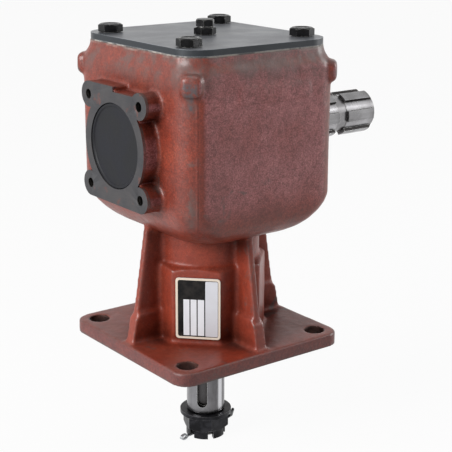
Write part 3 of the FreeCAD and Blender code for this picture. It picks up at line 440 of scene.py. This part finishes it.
def painted_reflection_band(n, colour):
    """Painted reflection on the output shaft: lighter away from one bright line, a darker band beside that line,
    and painted shade in the keyway.
    """
    toward = n.plus(n.times(n.normal_x, REFLECTION_LINE[0]), n.times(n.normal_y, REFLECTION_LINE[1]))
    # Painted reflection: lighter away from the line, a darker band beside it, and the bright line.
    colour = n.tint(colour, n.ramp(toward, 0.55, 0.80, 0.22, 0), "c4c4c8")
    colour = n.tint(colour, n.times(n.band(toward, 0.66, 0.90, 0.955, 0.985), 0.18), "3c3b3d")
    colour = n.tint(colour, n.ramp(toward, 0.980, 0.999, 0, 0.62), "f4f4f8")
    # Painted shade in the keyway.
    keyway_shade = n.times(n.ramp(n.radius(n.x, n.y), *KEYWAY_EDGE, 0.62, 0), n.ramp(n.z, *KEYWAY_LOW))
    return n.tint(colour, keyway_shade, "2b2724")


def spline_tones(n, colour):
    """Painted highlight in the grooves between the teeth, painted shade on the flanks, a darker lock groove and a
    duller end.
    """
    up = n.minus(n.z, AXIS_Z)
    radius = n.radius(up, n.y)
    across = n.plus(n.times(n.normal_z, up), n.times(n.normal_y, n.y))
    facing = n.maths("DIVIDE", n.size(across), radius)
    # Painted highlight: brighter groove floors between the teeth.
    colour = n.tint(colour, n.ramp(radius, *SPLINE_GROOVE, 0.32, 0), "dedce0")
    land = n.ramp(n.noise(30, 2, 0.5, place=n.scaled((1, 0.3, 0.3))), 0.35, 0.65, 0.0, 0.28)
    colour = n.tint(colour, land, "c9c8ca")
    # Painted shade: darker tooth flanks.
    flank_shade = n.times(n.ramp(facing, 0.45, 0.75, 0.92, 0), n.ramp(n.size(n.normal_x), 0.3, 0.6, 1, 0))
    colour = n.tint(colour, flank_shade, "151110")
    lock = n.times(n.band(n.x, *LOCK_GROOVE), n.ramp(radius, *LOCK_GROOVE_FLOOR, 0.38, 0))
    colour = n.tint(colour, lock, "3c3835")
    return n.tint(colour, n.ramp(n.x, *SPLINE_END, 0, 0.30), "4b4845")


def pin_steel():
    """Bright split pin, darker along its bent end, with painted shade in its hollows."""
    n = Nodes("pin_steel")
    cloud = n.noise(160, 4, 0.6)
    colour = n.mix(n.ramp(cloud, 0.35, 0.7), srgb("b9bcbf"), srgb("7d7f81"))
    along = n.minus(n.times(n.x, PIN_TAIL_WAY[0]), n.times(n.y, PIN_TAIL_WAY[1]))
    colour = n.tint(colour, n.ramp(along, *PIN_TAIL, 0, 0.90), "1c1c1e")
    # Painted shade: darker towards hollows, from ambient occlusion.
    colour = n.tint(colour, n.ramp(n.cavity(3 * MM), 0.40, 0.90, 0.80, 0), "171412")
    return n.finish(colour, n.ramp(cloud, 0.3, 0.7, 0.25, 0.40), 0.9, n.bump(cloud, 0.1, 0.1 * MM), 0.3)


def rubber(name, light="14151b", dark="0b0c10"):
    """Dull rubber with a faint bloom."""
    n = Nodes(name)
    cloud = n.noise(55, 5, 0.62)
    colour = n.mix(n.ramp(cloud, 0.35, 0.68), srgb(dark), srgb(light))
    colour = n.tint(colour, n.ramp(n.cells(420), 0.0, 0.2, 0.35, 0), "2d2c30")
    relief = n.bump(n.noise(1200, 3, 0.6), 0.15, 0.12 * MM)
    return n.finish(colour, n.ramp(cloud, 0.3, 0.7, 0.45, 0.65), 0.0, relief, 0.22)


def sealant():
    """Pale sealing sheet, stained along its edge."""
    n = Nodes("sealing_sheet")
    cloud = n.noise(75, 5, 0.65)
    colour = n.mix(n.ramp(cloud, 0.42, 0.58), srgb("8f8881"), srgb("45403e"))
    return n.finish(colour, 0.6, 0.0, n.bump(cloud, 0.3, 0.2 * MM))


def printed(name, code, metal):
    """One printed tone of the data plate."""
    n = Nodes(name)
    cloud = n.noise(120, 4, 0.6)
    colour = n.tint(srgb(code), n.ramp(cloud, 0.35, 0.7, 0, 0.06), "8f867c")
    return n.finish(colour, n.ramp(cloud, 0.3, 0.7, 0.3, 0.45), metal, n.bump(cloud, 0.1, 0.1 * MM), 0.15)


# Mesh helpers

def new_object(name, mesh, body, materials):
    """Piece of the object that rides on a body, from a mesh that has no materials yet."""
    for material in materials:
        mesh.materials.append(material)
    obj = bpy.data.objects.new(name, mesh)
    bpy.context.scene.collection.objects.link(obj)
    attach(obj, body)
    return obj


def mesh_from(bm, name, angle):
    """Finished mesh, smooth but for edges sharper than the angle, or flat without one."""
    mesh = bpy.data.meshes.new(name)
    bm.to_mesh(mesh)
    bm.free()
    if angle:
        smooth_shading(mesh, angle)
    return mesh


def voxel_copy(source, voxel):
    """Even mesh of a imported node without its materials, leaving the node as it is."""
    temporary = bpy.data.objects.new("temporary", source.data.copy())
    bpy.context.scene.collection.objects.link(temporary)
    modifier = temporary.modifiers.new("voxels", "REMESH")
    modifier.mode = "VOXEL"
    modifier.voxel_size = voxel
    bpy.context.view_layer.update()
    graph = bpy.context.evaluated_depsgraph_get()
    mesh = bpy.data.meshes.new_from_object(temporary.evaluated_get(graph))
    old = temporary.data
    bpy.data.objects.remove(temporary)
    bpy.data.meshes.remove(old)
    mesh.materials.clear()
    return mesh


def smooth_shading(mesh, angle):
    """Smooth but for edges sharper than the angle in degrees."""
    for polygon in mesh.polygons:
        polygon.use_smooth = True
    mesh.set_sharp_from_angle(angle=radians(angle))


def bevel(obj, width, angle):
    """Small rounding on edges sharper than the angle in degrees."""
    modifier = obj.modifiers.new("edges", "BEVEL")
    modifier.width = width
    modifier.segments = 2
    modifier.limit_method = "ANGLE"
    modifier.angle_limit = radians(angle)


def cut(bm, x, side, **settings):
    """Cut a mesh across the X axis; clear_outer=True drops what lies on the given side."""
    bmesh.ops.bisect_plane(bm, geom=bm.verts[:] + bm.edges[:] + bm.faces[:], dist=0.0001 * MM,
                           plane_co=(x, 0, 0), plane_no=(side, 0, 0), **settings)


def from_hole(a, b, pitch):
    """Distance from the nearest of four holes on a square pitch."""
    return hypot(abs(a) - pitch / 2, abs(b) - pitch / 2)


# Casting

VOXEL = 1.15 * MM
ROUNDING_PASSES = 5
SNAP = 0.9 * MM
PLANE_MARGIN = 0.6 * MM
PAD_SKIN_BACK = 1.0 * MM
PAD_SLICE = 2.2 * MM
INPUT_BORE_FROM = 45 * MM
PAD_HOLES_FROM = 55 * MM
COLUMN_BORE_TOP = 90 * MM
CAST, PAD_HOLE, FLANGE_HOLE = range(3)
MILLED, PAINTED, DRILLED = range(3)


def skin_share(p):
    """1 on rough cast skin, 0 on machined faces and bores."""
    from_axis = hypot(p.y, p.z - AXIS_Z)
    if abs(p.x) > PAD_X - PLANE_MARGIN or (from_axis < BORE_R + 1.5 * MM and abs(p.x) > INPUT_BORE_FROM):
        return 0.0
    if p.z < PLANE_MARGIN or p.z > RIM_TOP - PLANE_MARGIN:
        return 0.0
    if p.z < FLANGE_TOP + 1.0 * MM and from_hole(p.x, p.y, FLANGE_PITCH) < FLANGE_HOLE_R + 0.8 * MM:
        return 0.0
    if hypot(p.x, p.y) < BORE_R + 3 * MM and p.z < COLUMN_BORE_TOP:
        return 0.0
    return 1.0


def snapped(p):
    """Pull points near a machined plane or hole wall onto it."""
    half = FLANGE_PITCH / 2
    if 0.5 * MM < p.z < FLANGE_TOP - 0.5 * MM:
        cx = half if p.x > 0 else -half
        cy = half if p.y > 0 else -half
        r = hypot(p.x - cx, p.y - cy)
        if abs(r - FLANGE_HOLE_R) < SNAP:
            k = FLANGE_HOLE_R / r
            p = Vector((cx + (p.x - cx) * k, cy + (p.y - cy) * k, p.z))
    if p.z < SNAP:
        p.z = 0.0
    if abs(p.z - RIM_TOP) < SNAP:
        p.z = RIM_TOP
    return p


def cast_lumps(p):
    """Slow unevenness of the cast skin."""
    return 0.16 * MM * noise.noise(p * 70) + 0.07 * MM * noise.noise(p * 260)


def housing_casting(paint, bare_hole, flange_hole):
    """Rounded and slightly uneven skin of the casting, in place of the crisp node."""
    mesh = voxel_copy(nodes["housing"], VOXEL)
    bm = bmesh.new()
    bm.from_mesh(mesh)
    share = {v: skin_share(v.co) for v in bm.verts}
    soft = [v for v in bm.verts if share[v] > 0.5]
    for _ in range(ROUNDING_PASSES):
        bmesh.ops.smooth_vert(bm, verts=soft, factor=0.5, use_axis_x=True, use_axis_y=True, use_axis_z=True)
    bm.normal_update()
    pad_back = PAD_X - PAD_SKIN_BACK
    for v in bm.verts:
        if share[v] > 0.5:
            v.co += v.normal * cast_lumps(v.co)
        v.co = snapped(v.co)
        v.co.x = max(-pad_back, min(pad_back, v.co.x))
    bm.to_mesh(mesh)
    bm.free()
    smooth_shading(mesh, 60)
    obj = new_object("housing_casting", mesh, "housing_body", (paint, bare_hole, flange_hole))
    for polygon in mesh.polygons:
        at = polygon.center
        polygon.material_index = CAST
        if abs(at.x) > PAD_HOLES_FROM and from_hole(at.y, at.z - AXIS_Z, PAD_PITCH) < PAD_HOLE_R + 0.9 * MM:
            polygon.material_index = PAD_HOLE
        in_flange = 0.4 * MM < at.z < FLANGE_TOP - 0.3 * MM
        if in_flange and from_hole(at.x, at.y, FLANGE_PITCH) < FLANGE_HOLE_R + 0.5 * MM:
            polygon.material_index = FLANGE_HOLE
    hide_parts("housing")


def machined_pads(paint, bare_hole):
    """Crisp milled ends of both bearing pads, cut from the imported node."""
    iron = bare_iron()
    for side, name in ((-1, "cap_pad_face"), (1, "drive_pad_face")):
        bm = bmesh.new()
        bm.from_mesh(nodes["housing"].data)
        bmesh.ops.remove_doubles(bm, verts=bm.verts, dist=0.001 * MM)
        cut(bm, side * (PAD_X - PAD_SLICE), -side, clear_outer=True)
        rim = [e for e in bm.edges if e.is_boundary]
        bmesh.ops.triangle_fill(bm, edges=rim, use_beauty=True, use_dissolve=False)
        mesh = mesh_from(bm, name, 30)
        new_object(name, mesh, "housing_body", (iron, paint, bare_hole))
        for polygon in mesh.polygons:
            outward = abs(polygon.normal.x) > 0.9
            at = polygon.center
            in_bore = hypot(at.y, at.z - AXIS_Z) < BORE_R + 3 * MM
            polygon.material_index = MILLED if outward or in_bore else PAINTED
            if not outward and from_hole(at.y, at.z - AXIS_Z, PAD_PITCH) < PAD_HOLE_R + 0.4 * MM:
                polygon.material_index = DRILLED


# Data plate

PLATE_WIDTH = 33.5 * MM
PLATE_HEIGHT = 47.5 * MM
PLATE_THICKNESS = 0.8 * MM
PLATE_TO_RIGHT = 1.3 * MM
PLATE_MIDDLE_Z = 38.3 * MM
PRINT_LAYER = 0.02 * MM
CORNER_STEPS = 6


def rounded_field(left, right, low, high, radius):
    """Corner points of a rounded rectangle given in shares of the plate, from its middle."""
    corners = [(right, low, -90), (right, high, 0), (left, high, 90), (left, low, 180)]
    points = []
    for u, v, start in corners:
        x = (u - 0.5) * PLATE_WIDTH
        z = (v - 0.5) * PLATE_HEIGHT
        x -= radius if u == right else -radius
        z -= radius if v == high else -radius
        for step in range(CORNER_STEPS + 1):
            angle = radians(start + 90 * step / CORNER_STEPS)
            points.append((x + radius * cos(angle), z + radius * sin(angle)))
    return points


def on_facet(x, out, z):
    """Place on the near column facet, which looks between -X and -Y."""
    turn = Matrix.Rotation(radians(-45), 3, "Z")
    return turn @ Vector((x + PLATE_TO_RIGHT, -COLUMN_APOTHEM - out, PLATE_MIDDLE_Z + z))


def data_plate():
    """Thin plate with rounded corners and blank ruled fields."""
    bm = bmesh.new()
    white, black, pale, silver = range(4)
    # left, right, low and high as shares of the plate, corner radius in mm, tone
    fields = [
        (0.00, 1.00, 0.00, 1.00, 2.4, pale),
        (0.05, 0.955, 0.035, 0.965, 1.6, black),
        (0.665, 0.945, 0.045, 0.955, 1.0, silver),
        (0.175, 0.310, 0.055, 0.65, 0.1, white),
        (0.335, 0.470, 0.055, 0.65, 0.1, white),
        (0.495, 0.640, 0.055, 0.65, 0.1, white),
    ]
    for layer, (left, right, low, high, radius, tone) in enumerate(fields):
        points = rounded_field(left, right, low, high, radius * MM)
        out = PLATE_THICKNESS + PRINT_LAYER * min(layer, 2)
        front = [bm.verts.new(on_facet(x, out, z)) for x, z in points]
        bm.faces.new(front).material_index = tone
        if layer == 0:
            back = [bm.verts.new(on_facet(x, PRINT_LAYER, z)) for x, z in points]
            for k in range(len(front)):
                bm.faces.new((front[k - 1], back[k - 1], back[k], front[k])).material_index = silver
    tones = [printed(*tone) for tone in (("print_white", "dcdde2", 0.0), ("print_black", "0c0d0f", 0.0),
                                         ("print_pale", "ddd0c0", 0.0), ("print_silver", "cfd0d6", 0.2))]
    obj = new_object("plate", mesh_from(bm, "plate", None), "housing_body", tones)
    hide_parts("data_plate")


# Hexagonal heads, splined end and split pin

HEAD_STEPS = 48
HEAD_FACE_SHARE = 0.95
HEAD_FACE_HEIGHT = 0.5 * MM
HEAD_TOP_SHARE = 0.93
HEAD_CORNER_SLOPE = 0.6
HEAD_DISH_SHARES = (0.80, 0.70)
BOLT_ACROSS = 15.8 * MM
BOLT_HEIGHT = 6.4 * MM
BOLT_DISH = 0.5 * MM
BOLT_TURNS = {(-1, 1): -2, (1, 1): -7, (-1, -1): -15, (1, -1): -5}
PLUG_MIDDLE = (-2.0 * MM, -2.5 * MM)
PLUG_ACROSS = 14.3 * MM
PLUG_HEIGHT = 5.8 * MM
PLUG_TURN = radians(4)
PLUG_CAP_ACROSS = 12.4 * MM
PLUG_CAP_HEIGHT = 5.6 * MM
PLUG_CAP_TURN = radians(16)
SPLINE_TURN = radians(20)
TWIST_CUTS = (81 * MM, 83 * MM, 85 * MM, 87 * MM)
EYE_START = -18.5 * MM
EYE_BLEND = 1.5 * MM
EYE_FLATTENING = 0.38


def hex_head(bm, centre, across, z, height, turn, dish=0.0):
    """Hexagonal head with its corners turned off, on a thin round face."""
    apothem = across / 2
    face = apothem * HEAD_FACE_SHARE
    flat = apothem * HEAD_TOP_SHARE
    low = z + HEAD_FACE_HEIGHT
    top = z + height
    angles = [turn + 2 * pi * k / HEAD_STEPS for k in range(HEAD_STEPS)]
    six = [apothem / cos((a - turn + pi / 6) % (pi / 3) - pi / 6) for a in angles]
    rings = [[(face, z)] * HEAD_STEPS, [(face, low)] * HEAD_STEPS, [(r, low) for r in six],
             [(r, top - (r - flat) * HEAD_CORNER_SLOPE) for r in six], [(flat, top)] * HEAD_STEPS]
    if dish:
        rim, floor = HEAD_DISH_SHARES
        rings += [[(flat * rim, top)] * HEAD_STEPS, [(flat * floor, top - dish)] * HEAD_STEPS]
    built = []
    for ring in rings:
        built.append([bm.verts.new((centre[0] + r * cos(a), centre[1] + r * sin(a), height_z))
                      for a, (r, height_z) in zip(angles, ring)])
    for under, over in zip(built, built[1:]):
        for k in range(HEAD_STEPS):
            bm.faces.new((under[k - 1], under[k], over[k], over[k - 1]))
    bm.faces.new(built[-1])


def head_object(name, heads, replaced, material):
    """One piece made of several heads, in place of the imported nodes."""
    bm = bmesh.new()
    for head in heads:
        hex_head(bm, *head)
    obj = new_object(name, mesh_from(bm, name, 22), "housing_body", [material])
    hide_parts(*replaced)


def cover_heads(black):
    """Bolt heads and the vented plug, at the turns that the photograph shows."""
    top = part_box("cover_plate")[1].z
    at = COVER_BOLT_PITCH / 2
    bolts = [((sx * at, sy * at), BOLT_ACROSS, top, BOLT_HEIGHT, radians(turn), BOLT_DISH)
             for (sx, sy), turn in BOLT_TURNS.items()]
    head_object("bolt_heads", bolts, ["cover_bolts"], black)
    vent = [(PLUG_MIDDLE, PLUG_ACROSS, top, PLUG_HEIGHT, PLUG_TURN),
            (PLUG_MIDDLE, PLUG_CAP_ACROSS, top + PLUG_HEIGHT, PLUG_CAP_HEIGHT, PLUG_CAP_TURN)]
    plug_steel = dark_steel("breather_steel", "1d1d1f", "0b0b0c")
    head_object("vented_plug", vent, ["breather_plug", "breather_cap"], plug_steel)


def splined_shaft():
    """Input shaft with its splined end turned to the angle that the photograph shows."""
    bm = bmesh.new()
    bm.from_mesh(nodes["input_shaft"].data)
    for x in TWIST_CUTS:
        cut(bm, x, 1)
    first, last = TWIST_CUTS[0], TWIST_CUTS[-1]
    for v in bm.verts:
        angle = SPLINE_TURN * min(1.0, max(0.0, (v.co.x - first) / (last - first)))
        y, z = v.co.y, v.co.z - AXIS_Z
        v.co.y = y * cos(angle) - z * sin(angle)
        v.co.z = y * sin(angle) + z * cos(angle) + AXIS_Z
    steel = bright_steel("input_steel", (0.15, 1, 1), tones_and_painted_light=spline_tones)
    obj = new_object("splined_shaft", mesh_from(bm, "splined_shaft", 32), "input_line", [steel])
    bevel(obj, 0.25 * MM, 35)
    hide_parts("input_shaft")


def split_pin():
    """Split pin with the low, narrow eye that the photograph shows."""
    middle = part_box("cotter_pin")[0].z + PIN_EYE_R
    bm = bmesh.new()
    bm.from_mesh(nodes["cotter_pin"].data)
    for v in bm.verts:
        along = v.co.x * cos(PIN_TURN) + v.co.y * sin(PIN_TURN)
        share = min(1.0, max(0.0, (EYE_START - along) / EYE_BLEND))
        v.co.z = middle + (v.co.z - middle) * (1 - EYE_FLATTENING * share)
    obj = new_object("split_pin", mesh_from(bm, "split_pin", 32), "output_line", [pin_steel()])
    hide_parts("cotter_pin")


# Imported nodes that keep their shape

def finish_nodes():
    """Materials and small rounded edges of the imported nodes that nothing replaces."""
    nut = dark_steel("nut_steel", "2a2a2e", "131316", (0.30, 0.45), "77767a")
    gear = bright_steel("gear_steel", (1, 1, 1), "8d8c8a", "605e5b", (0.25, 0.4))
    ground = bright_steel("bearing_steel", (1, 1, 1), "c2c2c2", "9a9a9a", (0.12, 0.22))
    spring = dark_steel("spring_steel", "55534f", "2a2928")
    seal = rubber("seal_rubber", "2b2b2d", "18181a")
    finishes = {
        "cover_plate": cover_paint(),
        "cover_gasket": sealant(),
        "level_plug": bright_steel("zinc_steel", (1, 1, 1), "a5a4a1", "6f6d6a", (0.25, 0.4)),
        "end_cap": rubber("end_cap_rubber"),
        "input_oil_seal": seal,
        "output_oil_seal": seal,
        "output_shaft": bright_steel("output_steel", (1, 1, 0.3), "848386", "6c6b6e", (0.18, 0.28),
                                     9 * MM, painted_reflection_band),
        "flat_washer": nut,
        "castle_nut": nut,
        "crown_gear": gear,
        "pinion_gear": gear,
        "crown_gear_key": gear,
        "pinion_key": gear,
        "crown_gear_spacer": ground,
    }
    for name in nodes:
        if "_bearing_" in name:
            finishes[name] = ground
        if name.endswith("_ring"):
            finishes[name] = spring
    for name, material in finishes.items():
        mesh = nodes[name].data
        mesh.materials.clear()
        mesh.materials.append(material)
        smooth_shading(mesh, 32)
    bevel(nodes["cover_plate"], 0.7 * MM, 35)
    bevel(nodes["castle_nut"], 0.35 * MM, 25)
    bevel(nodes["flat_washer"], 0.4 * MM, 35)


# Stage, light and camera

WHITE = (1, 1, 1, 1)
FLOOR_GAP = 0.2 * MM
FLOOR_GLOW = 0.95
ROOM_LIGHT = 0.05
CENTRE = (0, 0, 0.12)
# name, place, target, width and height, power in watts
LIGHTS = (
    ("key", (-1.35, -0.26, 0.7), CENTRE, (0.36, 0.36), 11),
    ("side", (-1.40, 0.20, 0.6), CENTRE, (0.6, 0.6), 19),
    ("fill", (1.45, -0.55, 0.45), CENTRE, (0.30, 0.60), 11),
    ("glint", (0.97, -1.07, 1.05), (0, 0, 0.2), (0.16, 0.16), 2),
    ("top", (-0.1, -0.1, 1.5), CENTRE, (0.9, 0.9), 5),
)


def background_rays(tree):
    """1 for rays that should meet the plain white surroundings."""
    path = tree.nodes.new("ShaderNodeLightPath")
    seen = path.outputs["Is Camera Ray"]
    for name in ("Is Glossy Ray", "Is Transmission Ray"):
        either = tree.nodes.new("ShaderNodeMath")
        either.operation = "MAXIMUM"
        tree.links.new(seen, either.inputs[0])
        tree.links.new(path.outputs[name], either.inputs[1])
        seen = either.outputs["Value"]
    return seen


def stage():
    """Pale floor that the camera sees as nearly white, with the object's soft shadow."""
    floor_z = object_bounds()[0][2] - FLOOR_GAP
    bpy.ops.mesh.primitive_plane_add(size=8, location=(0, 0, floor_z))
    floor = bpy.context.object
    floor.name = "floor"
    floor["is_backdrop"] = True
    n = Nodes("floor_white")
    n.finish(srgb("c4c4c4"), 0.8)
    glow = n.tree.nodes.new("ShaderNodeEmission")
    glow.inputs["Color"].default_value = WHITE
    mix = n.tree.nodes.new("ShaderNodeMixShader")
    n.link(n.times(background_rays(n.tree), FLOOR_GLOW), mix.inputs["Fac"])
    n.link(n.shader.outputs["BSDF"], mix.inputs[1])
    n.link(glow.outputs["Emission"], mix.inputs[2])
    n.link(mix.outputs["Shader"], n.tree.nodes["Material Output"].inputs["Surface"])
    floor.data.materials.append(n.material)


def world():
    """White to the camera and in reflections, and a faint light on the object."""
    scene = bpy.context.scene
    scene.world = bpy.data.worlds.new("studio")
    scene.world.use_nodes = True
    tree = scene.world.node_tree
    background = tree.nodes["Background"]
    ramp = tree.nodes.new("ShaderNodeMapRange")
    tree.links.new(background_rays(tree), ramp.inputs["Value"])
    ramp.inputs["To Min"].default_value = ROOM_LIGHT
    ramp.inputs["To Max"].default_value = 1.0
    tree.links.new(ramp.outputs["Result"], background.inputs["Strength"])
    background.inputs["Color"].default_value = WHITE


def area_light(name, place, target, size, power):
    """Soft rectangular light that faces its target."""
    data = bpy.data.lights.new(name, "AREA")
    data.shape = "RECTANGLE"
    data.size, data.size_y = size
    data.energy = power
    obj = bpy.data.objects.new(name, data)
    bpy.context.scene.collection.objects.link(obj)
    obj.location = place
    obj.rotation_euler = (Vector(target) - Vector(place)).to_track_quat("-Z", "Y").to_euler()


def camera():
    """Pinhole camera as fitted to the photograph."""
    data = bpy.data.cameras.new("camera")
    data.sensor_width = SENSOR
    data.lens = SENSOR * FOCAL_PIXELS / PICTURE_SIDE
    data.clip_start = 0.05
    obj = bpy.data.objects.new("camera", data)
    bpy.context.scene.collection.objects.link(obj)
    level = cos(CAMERA_PITCH)
    back = Vector((sin(CAMERA_AZIMUTH) * level, -cos(CAMERA_AZIMUTH) * level, sin(CAMERA_PITCH)))
    right = Vector((cos(CAMERA_AZIMUTH), sin(CAMERA_AZIMUTH), 0))
    up = back.cross(right)
    tilted_right = right * cos(CAMERA_ROLL) + up * sin(CAMERA_ROLL)
    tilted_up = up * cos(CAMERA_ROLL) - right * sin(CAMERA_ROLL)
    turn = Matrix((tilted_right, tilted_up, back)).transposed().to_4x4()
    obj.matrix_world = Matrix.Translation(CAMERA_PLACE) @ turn
    bpy.context.scene.camera = obj


bpy.context.scene.view_settings.view_transform = "Standard"
camera()
world()
for light in LIGHTS:
    area_light(*light)
finish_nodes()
cover_heads(dark_steel("black_steel"))
splined_shaft()
split_pin()
red_paint = cast_paint()
bare_hole_iron = dark_steel("bare_hole", "2a2725", "100f0e", (0.45, 0.6), "4a4744")
flange_hole_iron = dark_steel("flange_hole", "4a302a", "2a1a17", (0.5, 0.65), "4a302a")
housing_casting(red_paint, bare_hole_iron, flange_hole_iron)
machined_pads(red_paint, bare_hole_iron)
data_plate()
stage()
